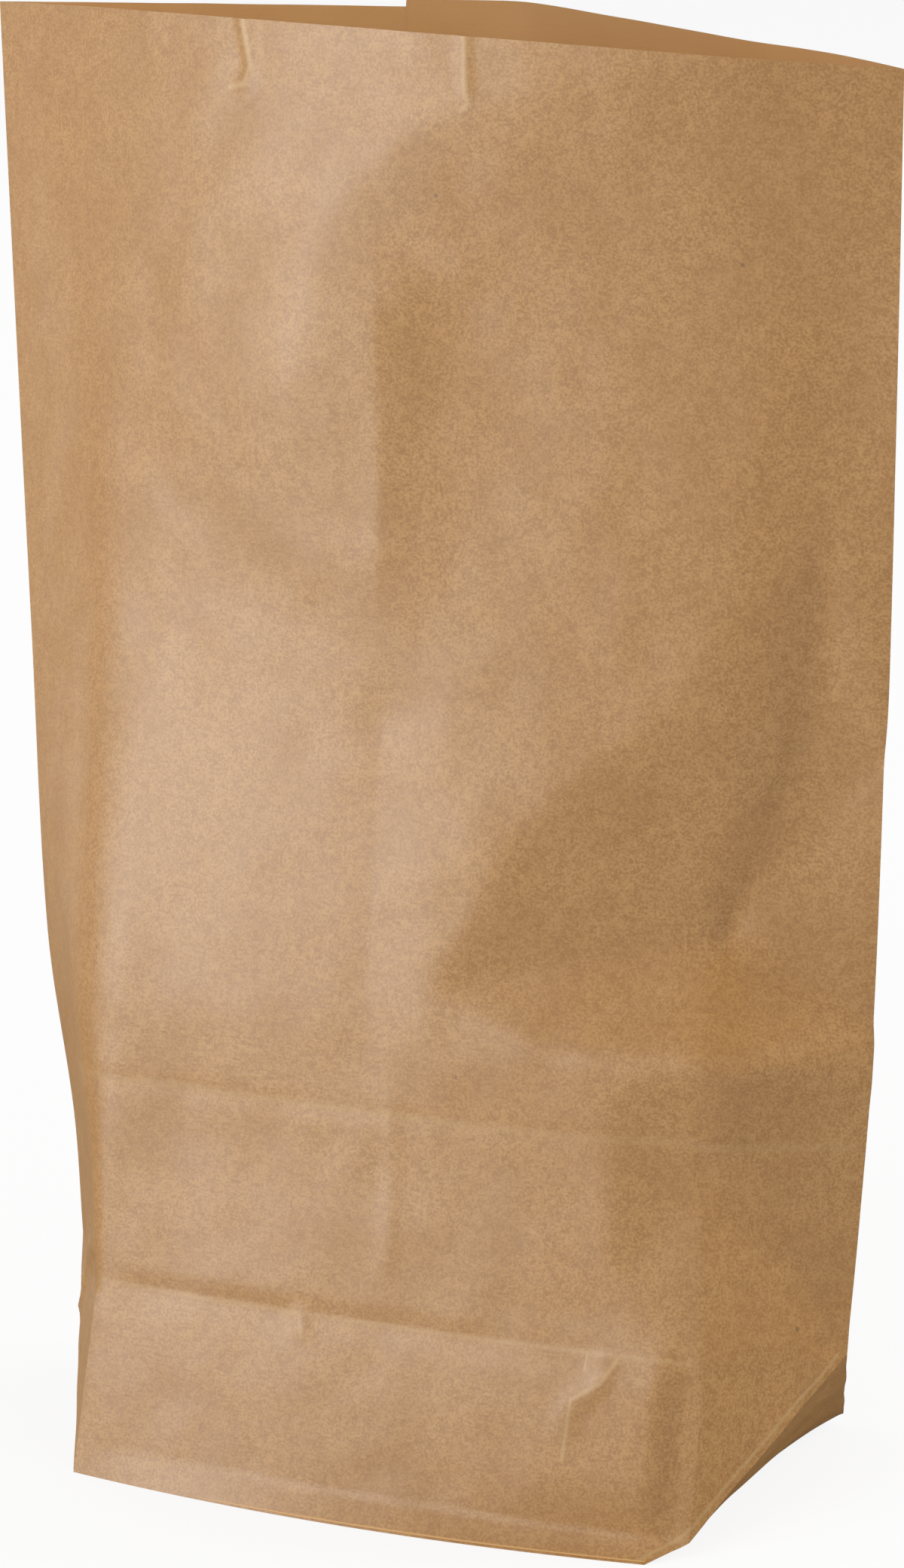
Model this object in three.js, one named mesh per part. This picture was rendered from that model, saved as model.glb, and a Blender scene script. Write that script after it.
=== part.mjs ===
// Brown paper lunch bag, opened and standing. Millimetres, +Z up.
// The origin is on the surface it stands on, under the middle of the base.
// The creased front panel faces -Y, and the glued seam runs up the back panel.
// The bag is one folded sheet, so it is one closed solid: an outer skin, an inner skin one ply
// inside it, the cut rim that joins them, and the folded base with its two glued flaps.
// Places on the paper are given as s and v: s runs round the tube from the left side crease,
// across the front panel to the right side crease and back across the rear panel, and v runs
// up from the base fold to the rim.
import * as THREE from 'three';

// The paper and the bag laid flat
const tubeWidth = 162;        // from side crease to side crease, with the bag pressed flat
const tubeLength = 232;       // from the base fold up to the cut rim
const baseDepth = 64;         // front to back size of the folded base
const ply = 0.12;             // thickness of the paper
const seamPlace = 67;         // from the left side crease to the seam's inner edge
const seamLap = 15;           // overlap of the two plies in the glued seam
const seamRise = 1.2;         // how far the seam's right ply stands above its left ply
const seamEdge = 0.16;        // width over which a ply's cut edge steps down
const seamFade = 30;          // distance over which the wall comes back to its line
const flapLap = 15;           // overlap of the two glued flaps under the base

// The base as it stands, out of square where the paper pulls it
const cornerShift = {
  frontLeft: [-3, -0.5],
  frontRight: [-0.3, -0.5],
  backRight: [4.3, -1.3],
  backLeft: [-1, 0],
};
const frontBow = 3.7;         // how far the middle of each base edge stands out
const backBow = 2;
const sideBow = -2.6;
const cornerLift = 1.7;       // the rear right corner is sprung off the floor
const cornerLiftReach = 38;
const cornerLiftHeight = 30;
const frontLean = 5;          // the front leans in this far between the floor and the valley fold
const bendSet = 5.5;          // the right front bend stands this far past the base corner
const bendFoot = [5.6, 4.2, 2.9];  // and its foot lies this far from that corner

// The folded side pockets and the rim's corners
const pocketAngle = { left: 61, right: 54.8 };   // degrees up from the floor
const pocketDrift = { left: -1.3, right: -1.1 }; // the tip's place along Y
const rimCentre = [4.5, 4.6];
const rimShare = 0.963;       // straight length of the rim as a share of the flat width
const rimTurn = -2;           // degrees
const frontRimRise = 3;       // how far each panel's middle stands above the rim's corners
const backRimRise = 0.8;

// The section of the tube at levels from the valley fold, up = 0, to the rim, up = 1.
// leftOut and rightOut push the side creases out. leftStrip and rightStrip are the widths of
// the panels' turned edges as shares of their widths at the valley fold, with their angles in
// degrees. The crowns are the turn spread over the rest of each panel, apex is the turn of the
// rear panel's soft fold, and soft is the reach of the bends.
const levels = [
  { up: 0, leftOut: 0, rightOut: 0, leftStrip: 1, leftAngle: 57, rightStrip: 1,
    rightAngle: 61, crown: 8, backLeft: 60, backRight: 62, backCrown: 7, apex: 0, soft: 1.5 },
  { up: 0.1, leftOut: 0.15, rightOut: 1.1, leftStrip: 0.99, leftAngle: 56, rightStrip: 0.99,
    rightAngle: 59, crown: 11, backLeft: 57, backRight: 59, backCrown: 10, apex: 0, soft: 5 },
  { up: 0.25, leftOut: 2.8, rightOut: 2.2, leftStrip: 0.98, leftAngle: 51, rightStrip: 0.96,
    rightAngle: 52, crown: 14, backLeft: 50, backRight: 51, backCrown: 14, apex: 3, soft: 9 },
  { up: 0.5, leftOut: 2, rightOut: 2.1, leftStrip: 0.86, leftAngle: 38, rightStrip: 0.82,
    rightAngle: 34, crown: 15, backLeft: 36, backRight: 36, backCrown: 14, apex: 8, soft: 9 },
  { up: 0.75, leftOut: 1.05, rightOut: 1.2, leftStrip: 0.66, leftAngle: 29, rightStrip: 0.6,
    rightAngle: 23, crown: 17, backLeft: 24, backRight: 24, backCrown: 10, apex: 16, soft: 7 },
  { up: 1, leftOut: 0, rightOut: 0, leftStrip: 0.2, leftAngle: 21, rightStrip: 0.3,
    rightAngle: 18, crown: 20, backLeft: 12, backRight: 13, backCrown: -3, apex: 31, soft: 4 },
];
const apexPlace = 86;         // soft fold of the rear panel, from the left side crease
const apexSoft = 9;
const rearSoft = 2;           // the rear panel's bends reach this much further

// Folds and soft dents of the panels. Each follows a line of places on the paper and stands out
// by high, or in where that is negative. It falls away over the widths to its left and right,
// and foot is the share of that fall which is rounded.
const folds = [
  { name: 'base imprint', line: [[10, 65], [160, 66]], high: -0.9, left: 12, right: 30, foot: 0.3 },
  { name: 'seam imprint', line: [[82, 130], [81.5, 205]], high: 1.5, left: 42, right: 15, foot: 0.7 },
  { name: 'upper fold', line: [[62, 140], [66, 180], [83, 214], [100, 223], [160, 240]],
    high: 3.6, left: 80, right: 40, foot: 0.5 },
  { name: 'lower dent', line: [[40, 10], [122, 14]], high: -0.5, left: 12, right: 12, foot: 0.6 },
  { name: 'rear upper dent', line: [[196, 170], [236, 120]], high: -1.8, left: 30, right: 24, foot: 0.5 },
  { name: 'rear lower dent', line: [[262, 92], [290, 50]], high: -1.3, left: 18, right: 22, foot: 0.5 },
];
const foldEnds = 0.25;        // share of its length over which each of them fades at its ends

// Flat facets where the paper is dented. They meet at a hub, given by its place and how far it
// stands out, and end on a ring of places.
const dents = [
  { name: 'hand dent', hub: [142, 97, -9.5],
    ring: [[91.5, 86], [104, 111], [128, 132], [153, 166], [tubeWidth, 130], [tubeWidth, 84],
      [138, 79], [110, 79]] },
  { name: 'corner dent', hub: [135, 56, -4.5],
    ring: [[120, 46], [120, 72], [129, 78], [146, 79], [tubeWidth, 72], [tubeWidth, 36],
      [134, 33]] },
];

// How finely the paper is divided
const pocketDivisions = 6;
const frontDivisions = 20;
const backDivisions = 16;
const heightDivisions = 32;

const halfWidth = tubeWidth / 2;
const halfDepth = baseDepth / 2;
const halfBase = halfWidth - halfDepth;
const valleyHeight = Math.sqrt(halfDepth ** 2 - frontLean ** 2);
const girth = 2 * tubeWidth;
const touch = 0.01;           // places nearer than this are one place
const radians = THREE.MathUtils.degToRad;

function mixPoints(a, b, share) {
  return a.clone().lerp(b, share);
}

function smoothStep(x) {
  return THREE.MathUtils.smoothstep(x, 0, 1);
}

// A smooth curve through the levels' values of one name
function levelValue(name, up) {
  const last = levels.length - 1;
  let i = 0;
  while (i < last - 1 && up > levels[i + 1].up) {
    i += 1;
  }
  const slope = (k) => {
    const lower = levels[Math.max(k - 1, 0)];
    const upper = levels[Math.min(k + 1, last)];
    return (upper[name] - lower[name]) / (upper.up - lower.up);
  };
  const a = levels[i];
  const b = levels[i + 1];
  const span = b.up - a.up;
  const t = (up - a.up) / span;
  const h = t * t * (3 - 2 * t);
  const curve = span * t * (1 - t) * ((1 - t) * slope(i) - t * slope(i + 1));
  return a[name] * (1 - h) + b[name] * h + curve;
}

function baseCorner(signX, signY, shift) {
  return new THREE.Vector3(signX * halfBase + shift[0], signY * halfDepth + shift[1], 0);
}

const frontLeft = baseCorner(-1, -1, cornerShift.frontLeft);
const frontRight = baseCorner(1, -1, cornerShift.frontRight);
const backRight = baseCorner(1, 1, cornerShift.backRight);
const backLeft = baseCorner(-1, 1, cornerShift.backLeft);
const bendPoint = frontRight.clone().add(new THREE.Vector3(...bendFoot));

function pocketTip(front, back, side, angle, drift) {
  const tip = mixPoints(front, back, 0.5);
  tip.x += side * halfDepth * Math.cos(radians(angle));
  tip.y += drift;
  tip.z += halfDepth * Math.sin(radians(angle));
  return tip;
}

const leftTip = pocketTip(frontLeft, backLeft, -1, pocketAngle.left, pocketDrift.left);
const rightTip = pocketTip(frontRight, backRight, 1, pocketAngle.right, pocketDrift.right);

function rimCorner(side, tip) {
  const turn = radians(rimTurn);
  const corner = new THREE.Vector3(rimCentre[0], rimCentre[1], 0);
  corner.x += side * halfWidth * rimShare * Math.cos(turn);
  corner.y += side * halfWidth * rimShare * Math.sin(turn);
  const across = Math.hypot(corner.x - tip.x, corner.y - tip.y);
  const along = tubeLength - halfDepth;
  corner.z = tip.z + Math.sqrt(along * along - across * across);
  return corner;
}

const leftRim = rimCorner(-1, leftTip);
const rightRim = rimCorner(1, rightTip);

function softTurn(distance, radius) {
  return smoothStep(0.5 + distance / (2 * radius));
}

// Heading of the paper at each place across one panel, in degrees from the line between the
// side creases: turned away from that line along the first strip, crowned and softly folded
// over the middle, and turned back to the line along the last strip.
function heading(place, panel) {
  const { first, firstStrip, last, lastStrip, crown, soft, apex } = panel;
  const lastBend = tubeWidth - lastStrip;
  const across = THREE.MathUtils.clamp((place - firstStrip) / (lastBend - firstStrip), 0, 1);
  const fold = apex * (0.5 - softTurn(place - apexPlace, apexSoft));
  const middle = crown * (1 - 2 * across) + fold;
  const turned = THREE.MathUtils.lerp(first, middle, softTurn(place - firstStrip, soft));
  return THREE.MathUtils.lerp(turned, -last, softTurn(place - lastBend, soft));
}

const panelSteps = 180;

// Points across one panel as offsets along and out from the line between the side creases
function panelShape(panel) {
  const step = tubeWidth / panelSteps;
  const path = [new THREE.Vector2(0, 0)];
  for (let i = 0; i < panelSteps; i += 1) {
    const angle = radians(heading((i + 0.5) * step, panel));
    const move = new THREE.Vector2(Math.cos(angle), Math.sin(angle)).multiplyScalar(step);
    path.push(path[i].clone().add(move));
  }
  const end = path[panelSteps];
  return path.map((p) => new THREE.Vector2(
    (p.x * end.x + p.y * end.y) / end.lengthSq(),
    (p.y * end.x - p.x * end.y) / end.lengthSq(),
  ));
}

function sectionAt(up) {
  const value = (name) => levelValue(name, up);
  const left = mixPoints(leftTip, leftRim, up);
  const right = mixPoints(rightTip, rightRim, up);
  left.x -= value('leftOut');
  right.x += value('rightOut');
  const leftStrip = value('leftStrip') * halfDepth;
  const rightStrip = value('rightStrip') * (halfDepth - bendSet);
  const front = panelShape({
    first: value('leftAngle'), firstStrip: leftStrip,
    last: value('rightAngle'), lastStrip: rightStrip,
    crown: value('crown'), soft: value('soft'), apex: 0,
  });
  const back = panelShape({
    first: value('backLeft'), firstStrip: leftStrip,
    last: value('backRight'), lastStrip: leftStrip,
    crown: value('backCrown'), soft: value('soft') + rearSoft, apex: value('apex'),
  });
  return { left, right, front, back };
}

function pathPoint(path, share) {
  const at = THREE.MathUtils.clamp(share, 0, 1) * panelSteps;
  const i = Math.min(Math.floor(at), panelSteps - 1);
  return path[i].clone().lerp(path[i + 1], at - i);
}

// A point of the tube above the valley fold
function upperPoint(s, v) {
  const up = (v - halfDepth) / (tubeLength - halfDepth);
  const { left, right, front, back } = sectionAt(up);
  const onFront = s <= tubeWidth;
  const share = (onFront ? s : girth - s) / tubeWidth;
  const { x: along, y: out } = pathPoint(onFront ? front : back, share);
  const chord = right.clone().sub(left);
  const side = onFront ? 1 : -1;
  const point = left.clone().addScaledVector(chord, along);
  point.x += side * out * chord.y;
  point.y -= side * out * chord.x;
  const middle = 1 - (2 * share - 1) ** 2;
  const fold = Math.min(share, 1 - share) * tubeWidth / halfDepth;
  const level = valleyHeight - mixPoints(leftTip, rightTip, share).z;
  const rise = onFront ? frontRimRise : backRimRise;
  point.z += Math.min(fold, 1) * level * (1 - up) + middle * rise * up;
  return point;
}

// Points of the creases and bends below the valley fold, at height v on the paper
function lowerMarks(v) {
  const share = v / halfDepth;
  const top = (s) => upperPoint(s, halfDepth);
  const pastBend = (v - bendSet) / (halfDepth - bendSet);
  const bend = v < bendSet
    ? mixPoints(frontRight, bendPoint, v / bendSet)
    : mixPoints(bendPoint, top(tubeWidth - halfDepth + bendSet), pastBend);
  const frontFold = v < bendSet ? bend : mixPoints(bendPoint, rightTip, pastBend);
  return [
    [halfDepth - v, mixPoints(frontLeft, leftTip, share)],
    [halfDepth, mixPoints(frontLeft, top(halfDepth), share)],
    [tubeWidth - halfDepth + Math.min(v, bendSet), bend],
    [tubeWidth - halfDepth + v, frontFold],
    [tubeWidth + halfDepth - v, mixPoints(backRight, rightTip, share)],
    [tubeWidth + halfDepth, mixPoints(backRight, top(tubeWidth + halfDepth), share)],
    [girth - halfDepth, mixPoints(backLeft, top(girth - halfDepth), share)],
    [girth - halfDepth + v, mixPoints(backLeft, leftTip, share)],
    [girth + halfDepth - v, mixPoints(frontLeft, leftTip, share)],
  ];
}

// How far the paper stands out between two neighbouring marks: the base edges are bowed,
// and the front and rear panels take the bow of the section above them.
const markBows = [0, frontBow, 0, sideBow, 0, backBow, 0, sideBow];
const markTops = [0, 1, 0, 0, 0, 1, 0, 0];

function lowerPoint(s, v) {
  const seats = lowerMarks(v);
  const place = s < seats[0][0] ? s + girth : s;
  let i = 0;
  while (i < seats.length - 2 && place > seats[i + 1][0]) {
    i += 1;
  }
  const [from, a] = seats[i];
  const [to, b] = seats[i + 1];
  const share = to > from ? (place - from) / (to - from) : 0;
  const point = mixPoints(a, b, share);
  const span = b.clone().sub(a).setZ(0).normalize();
  const bow = markBows[i] * (1 - v / halfDepth) * 4 * share * (1 - share);
  point.x += span.y * bow;
  point.y -= span.x * bow;
  if (markTops[i]) {
    const topMarks = lowerMarks(halfDepth);
    const topPlace = THREE.MathUtils.lerp(topMarks[i][0], topMarks[i + 1][0], share);
    const straight = mixPoints(topMarks[i][1], topMarks[i + 1][1], share);
    const crown = upperPoint(topPlace, halfDepth).sub(straight);
    point.addScaledVector(crown, v / halfDepth);
  }
  return point;
}

function skinPoint(s, v) {
  return v < halfDepth ? lowerPoint(s, v) : upperPoint(s, v);
}

// The nearest place on a line to s, v: how far beside the line that is, to its right, and the
// share of the line's length before it
function besideLine(line, s, v) {
  const place = new THREE.Vector2(s, v);
  const points = line.map(([x, y]) => new THREE.Vector2(x, y));
  let nearest = { away: Infinity };
  let done = 0;
  for (let i = 0; i < points.length - 1; i += 1) {
    const run = points[i + 1].clone().sub(points[i]);
    const length = run.length();
    const offset = place.clone().sub(points[i]);
    const along = THREE.MathUtils.clamp(offset.dot(run) / length, 0, length);
    const away = offset.distanceTo(run.clone().setLength(along));
    if (away < nearest.away) {
      nearest = { away, right: offset.cross(run) > 0, along: done + along };
    }
    done += length;
  }
  return { ...nearest, share: nearest.along / done };
}

// A fall from 1 to 0 that is straight but for its rounded foot
function roundedFall(away, foot) {
  const t = THREE.MathUtils.clamp(1 - away, 0, 1);
  return (t < foot ? t * t / (2 * foot) : t - foot / 2) / (1 - foot / 2);
}

function foldHeight(s, v) {
  let height = 0;
  for (const { line, high, left, right, foot } of folds) {
    const nearest = besideLine(line, s, v);
    const fade = smoothStep(Math.min(nearest.share, 1 - nearest.share) / foldEnds);
    height += high * fade * roundedFall(nearest.away / (nearest.right ? right : left), foot);
  }
  return height;
}

function dentHeight(s, v) {
  let height = 0;
  for (const { hub, ring } of dents) {
    const [hubS, hubV, high] = hub;
    let own = 0;
    ring.forEach(([aS, aV], i) => {
      const [bS, bV] = ring[(i + 1) % ring.length];
      const area = (aS - hubS) * (bV - hubV) - (bS - hubS) * (aV - hubV);
      const shareA = ((s - hubS) * (bV - hubV) - (bS - hubS) * (v - hubV)) / area;
      const shareB = ((aS - hubS) * (v - hubV) - (s - hubS) * (aV - hubV)) / area;
      if (shareA >= 0 && shareB >= 0) {
        own = high * Math.max(0, 1 - shareA - shareB);
      }
    });
    height += own;
  }
  return height;
}

// The places that the skins' points stand on
function divide(from, to, count) {
  return Array.from({ length: count }, (_, i) => from + (to - from) * i / count);
}

const pocketPlaces = [0, ...divide(bendSet, halfDepth, pocketDivisions - 1)];
const seamEdges = [seamPlace, seamPlace + seamLap].map((place) => girth - place);

function placesAround() {
  const places = [];
  for (const corner of [0, tubeWidth]) {
    places.push(...pocketPlaces.map((p) => corner - halfDepth + p));
    places.push(...[...pocketPlaces, halfDepth].map((p) => corner + halfDepth - p).reverse().slice(0, -1));
  }
  places.push(...divide(halfDepth, tubeWidth - halfDepth, frontDivisions));
  places.push(...divide(tubeWidth + halfDepth, girth - halfDepth, backDivisions));
  const around = places.map((p) => (p + girth) % girth);
  for (const edge of seamEdges) {
    around.push(edge - seamEdge / 2, edge + seamEdge / 2);
  }
  const sorted = around.sort((a, b) => a - b);
  return sorted.filter((p, i) => i === 0 || p - sorted[i - 1] > touch);
}

function placesUp() {
  const upper = divide(halfDepth, tubeLength, heightDivisions);
  return [...pocketPlaces, ...upper, tubeLength];
}

const columns = placesAround();
const rows = placesUp();

// The seam: how far each skin stands in, and how far its rim stands up, at place s
function seamAt(s) {
  const fromLeft = girth - s;
  const onBack = s > tubeWidth;
  const past = fromLeft - seamPlace - seamLap;
  const fade = THREE.MathUtils.clamp(1 - past / seamFade, 0, 1);
  const overInner = onBack && fromLeft > seamPlace;
  const overOuter = onBack && past > 0;
  const rise = seamRise * Math.min(1, (tubeWidth - fromLeft) / (tubeWidth - apexPlace));
  const inner = overInner ? (overOuter ? fade : 1) : 0;
  return {
    outerIn: overOuter ? ply * fade : 0,
    innerIn: ply * (1 + inner),
    outerRise: overOuter ? rise : 0,
    innerRise: overInner ? rise : 0,
  };
}

// A slight warp of the whole standing bag: the rear right corner of the base is off the floor
function liftCorner(point) {
  const away = Math.hypot(point.x - backRight.x, point.y - backRight.y) / cornerLiftReach;
  const height = smoothStep(1 - point.z / cornerLiftHeight);
  point.z += cornerLift * smoothStep(1 - away) * height;
  return point;
}

function skinLine(riseName) {
  return rows.map((v, row) => columns.map((s) => {
    const rise = row === rows.length - 1 ? seamAt(s)[riseName] : 0;
    return skinPoint(s, v + rise);
  }));
}

function cellNormal(a, b, c, d) {
  const first = c.clone().sub(a);
  const second = d.clone().sub(b);
  return first.cross(second).normalize();
}

const sharpest = 0.25;        // keeps the points of sharp folds near their line

// Moves each point of a skin out along the bisector of the cells round it, so that the cells
// move out by the given amount
function offsetSkin(skin, amount) {
  const count = columns.length;
  const cells = [];
  for (let row = 0; row < rows.length - 1; row += 1) {
    cells.push(columns.map((_, i) => {
      const j = (i + 1) % count;
      return cellNormal(skin[row][i], skin[row][j], skin[row + 1][j], skin[row + 1][i]);
    }));
  }
  return skin.map((points, row) => points.map((point, i) => {
    const around = [];
    for (const r of [row - 1, row]) {
      if (cells[r]) {
        around.push(cells[r][i], cells[r][(i + count - 1) % count]);
      }
    }
    const bisector = around.reduce((sum, n) => sum.add(n), new THREE.Vector3()).normalize();
    const least = Math.min(...around.map((n) => n.dot(bisector)));
    const reach = amount(columns[i], row) / Math.max(least, sharpest);
    return point.clone().addScaledVector(bisector, reach);
  }));
}

class ClosedMesh {
  constructor() {
    this.positions = [];
    this.faces = [];
  }

  add(point) {
    this.positions.push(point.x, point.y, point.z);
    return this.positions.length / 3 - 1;
  }

  triangle(a, b, c) {
    this.faces.push(a, b, c);
  }

  // A four-sided cell, cut along the diagonal from a to c
  quad(a, b, c, d) {
    this.triangle(a, b, c);
    this.triangle(a, c, d);
  }

  fan(centre, ring) {
    for (let i = 0; i < ring.length - 1; i += 1) {
      this.triangle(centre, ring[i], ring[i + 1]);
    }
  }

  geometry() {
    const geometry = new THREE.BufferGeometry();
    geometry.setAttribute('position', new THREE.Float32BufferAttribute(this.positions, 3));
    geometry.setIndex(this.faces);
    geometry.computeVertexNormals();
    return geometry;
  }
}

// True where the folds of the base run from a cell's lower left to its upper right
function foldRises(s) {
  const round = (s + halfDepth) % tubeWidth;
  return round < halfDepth;
}

function addSkin(mesh, skin, outward) {
  const ids = skin.map((points) => points.map((point) => mesh.add(point)));
  for (let row = 0; row < rows.length - 1; row += 1) {
    for (let i = 0; i < columns.length; i += 1) {
      const j = (i + 1) % columns.length;
      const cell = [ids[row][i], ids[row][j], ids[row + 1][j], ids[row + 1][i]];
      if (!foldRises(columns[i])) {
        cell.unshift(cell.pop());
      }
      if (!outward) {
        cell.reverse();
        cell.unshift(cell.pop());
      }
      mesh.quad(...cell);
    }
  }
  return ids;
}

function ringBetween(ids, from, to) {
  const ring = [];
  columns.forEach((s, i) => {
    if (s > from - touch && s < to + touch) {
      ring.push(ids[i]);
    }
  });
  return ring;
}

// The base from below: the front flap lies over the rear flap, and the folded pockets show
// between their slanting edges. Each lies one ply above the one that covers it.
function addBase(mesh, ids) {
  const reach = halfDepth + flapLap / 2;
  const meet = (x) => Math.sign(x) * (halfBase - halfDepth);
  const edge = (x) => Math.sign(x) * (halfBase - reach);
  const point = (x, y, z) => mesh.add(new THREE.Vector3(x, y, z));
  const levelsAt = (x) => [0, ply, 2 * ply].map((z) => point(meet(x), 0, z));
  const [rightFront, rightBack, rightPocket] = levelsAt(1);
  const [leftFront, leftBack, leftPocket] = levelsAt(-1);
  const rightLap = [0, ply].map((z) => point(edge(1), flapLap / 2, z));
  const leftLap = [0, ply].map((z) => point(edge(-1), flapLap / 2, z));
  const frontRing = ringBetween(ids, halfDepth, tubeWidth - halfDepth);
  const rightRing = ringBetween(ids, tubeWidth - halfDepth, tubeWidth + halfDepth);
  const backRing = ringBetween(ids, tubeWidth + halfDepth, girth - halfDepth);
  const leftRing = [
    ...ringBetween(ids, girth - halfDepth, girth),
    ...ringBetween(ids, 0, halfDepth),
  ];
  const frontCentre = point(0, -halfDepth / 2, 0);
  const backCentre = point(0, (flapLap / 2 + halfDepth) / 2, ply);
  const frontOutline = [...frontRing, rightFront, rightLap[0], leftLap[0], leftFront, frontRing[0]];
  const backOutline = [...backRing, leftBack, leftLap[1], rightLap[1], rightBack, backRing[0]];
  mesh.fan(frontCentre, frontOutline.reverse());
  mesh.fan(backCentre, backOutline.reverse());
  mesh.fan(rightPocket, rightRing.reverse());
  mesh.fan(leftPocket, leftRing.reverse());
  const frontRightId = frontRing[frontRing.length - 1];
  const frontLeftId = frontRing[0];
  const backRightId = backRing[0];
  const backLeftId = backRing[backRing.length - 1];
  mesh.triangle(frontRightId, rightFront, rightBack);
  mesh.triangle(frontRightId, rightBack, rightPocket);
  mesh.triangle(frontLeftId, leftBack, leftFront);
  mesh.triangle(frontLeftId, leftPocket, leftBack);
  mesh.triangle(backRightId, rightPocket, rightBack);
  mesh.triangle(backLeftId, leftBack, leftPocket);
  mesh.quad(rightFront, rightLap[0], rightLap[1], rightBack);
  mesh.quad(rightLap[0], leftLap[0], leftLap[1], rightLap[1]);
  mesh.quad(leftLap[0], leftFront, leftBack, leftLap[1]);
}

function baseLevel(s) {
  if (s > halfDepth - touch && s < tubeWidth - halfDepth + touch) {
    return 0;
  }
  if (s > tubeWidth + halfDepth - touch && s < girth - halfDepth + touch) {
    return ply;
  }
  return 2 * ply;
}

function buildBag() {
  const press = (s, row) => foldHeight(s, rows[row]) + dentHeight(s, rows[row]);
  const outerLine = skinLine('outerRise');
  const innerLine = skinLine('innerRise');
  const outer = offsetSkin(outerLine, (s, row) => press(s, row) - seamAt(s).outerIn);
  const inner = offsetSkin(innerLine, (s, row) => press(s, row) - seamAt(s).innerIn);
  columns.forEach((s, i) => {
    outer[0][i].copy(outerLine[0][i]).setZ(baseLevel(s));
    const inward = inner[0][i].clone().sub(innerLine[0][i]).setZ(0).setLength(seamAt(s).innerIn);
    inner[0][i].copy(innerLine[0][i]).add(inward).setZ(3 * ply);
  });
  const mesh = new ClosedMesh();
  const outerIds = addSkin(mesh, outer, true);
  const innerIds = addSkin(mesh, inner, false);
  const top = rows.length - 1;
  for (let i = 0; i < columns.length; i += 1) {
    const j = (i + 1) % columns.length;
    mesh.quad(outerIds[top][i], outerIds[top][j], innerIds[top][j], innerIds[top][i]);
  }
  const floorCentre = mesh.add(new THREE.Vector3(0, 0, 3 * ply));
  mesh.fan(floorCentre, [...innerIds[0], innerIds[0][0]]);
  addBase(mesh, outerIds[0]);
  for (let i = 0; i < mesh.positions.length; i += 3) {
    const lifted = liftCorner(new THREE.Vector3(...mesh.positions.slice(i, i + 3)));
    mesh.positions[i + 2] = lifted.z;
  }
  return mesh.geometry();
}

const kraft = new THREE.MeshStandardMaterial({ color: 0xbd9668, roughness: 0.85, metalness: 0 });
kraft.name = 'kraft_paper';

const bag = new THREE.Mesh(buildBag(), kraft);
bag.name = 'paper_bag';

const part = new THREE.Group();
part.add(bag);

export default part;
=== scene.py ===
# Brown paper lunch bag, opened and standing.
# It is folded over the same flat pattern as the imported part, so both share one frame.
import math

import bpy
import numpy as np
from mathutils import Matrix, Vector


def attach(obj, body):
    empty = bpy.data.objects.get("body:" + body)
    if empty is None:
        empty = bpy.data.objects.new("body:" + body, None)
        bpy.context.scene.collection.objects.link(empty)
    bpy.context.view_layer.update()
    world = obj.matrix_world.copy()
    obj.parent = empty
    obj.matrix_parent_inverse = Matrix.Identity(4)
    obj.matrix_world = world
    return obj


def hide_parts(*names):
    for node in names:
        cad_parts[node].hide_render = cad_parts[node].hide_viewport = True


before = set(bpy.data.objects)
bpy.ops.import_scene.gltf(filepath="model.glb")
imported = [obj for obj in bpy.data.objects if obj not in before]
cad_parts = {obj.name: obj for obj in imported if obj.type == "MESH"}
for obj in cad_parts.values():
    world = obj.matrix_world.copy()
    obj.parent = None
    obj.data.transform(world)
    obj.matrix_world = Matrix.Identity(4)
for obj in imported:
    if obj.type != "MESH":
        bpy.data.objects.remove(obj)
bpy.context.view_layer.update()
print("frame loaded,", len(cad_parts), "node")

# The bag laid flat and the way it stands, in mm and degrees. Places on the paper are s and v.
# The first, s, runs round the tube from the left side crease, across the front to the right side
# crease and back across the rear. The second, v, runs up from the base fold to the rim.
bag = {
    "tubeWidth": 162,
    "tubeLength": 232,
    "baseDepth": 64,
    "ply": 0.12,
    "seamPlace": 67,          # left side crease to the seam's inner edge
    "seamLap": 15,
    "seamRise": 1.2,
    "seamEdge": 0.16,
    "seamFade": 30,
    "flapLap": 15,
    "frontLeft": (-3, -0.5),  # how far each base corner stands from its square place
    "frontRight": (-0.3, -0.5),
    "backRight": (4.3, -1.3),
    "backLeft": (-1, 0),
    "frontBow": 3.7,
    "backBow": 2,
    "sideBow": -2.6,
    "cornerLift": 1.7,        # the rear right corner is sprung off the floor
    "cornerLiftReach": 38,
    "cornerLiftHeight": 30,
    "frontLean": 5,
    "bendSet": 5.5,
    "bendFoot": (5.6, 4.2, 2.9),
    "pocketAngles": (61, 54.8),
    "pocketDrifts": (-1.3, -1.1),
    "rimCentre": (4.5, 4.6),
    "rimChord": 156,
    "rimTurn": -2,
    "frontRimRise": 3.9,
    "backRimRise": 0.8,
    "apexPlace": 86,          # soft fold of the rear panel
    "apexSoft": 9,
    "rearSoft": 2,
    "sharpAngle": 40,         # edges bent by more degrees than this are shaded sharp
}

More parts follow.
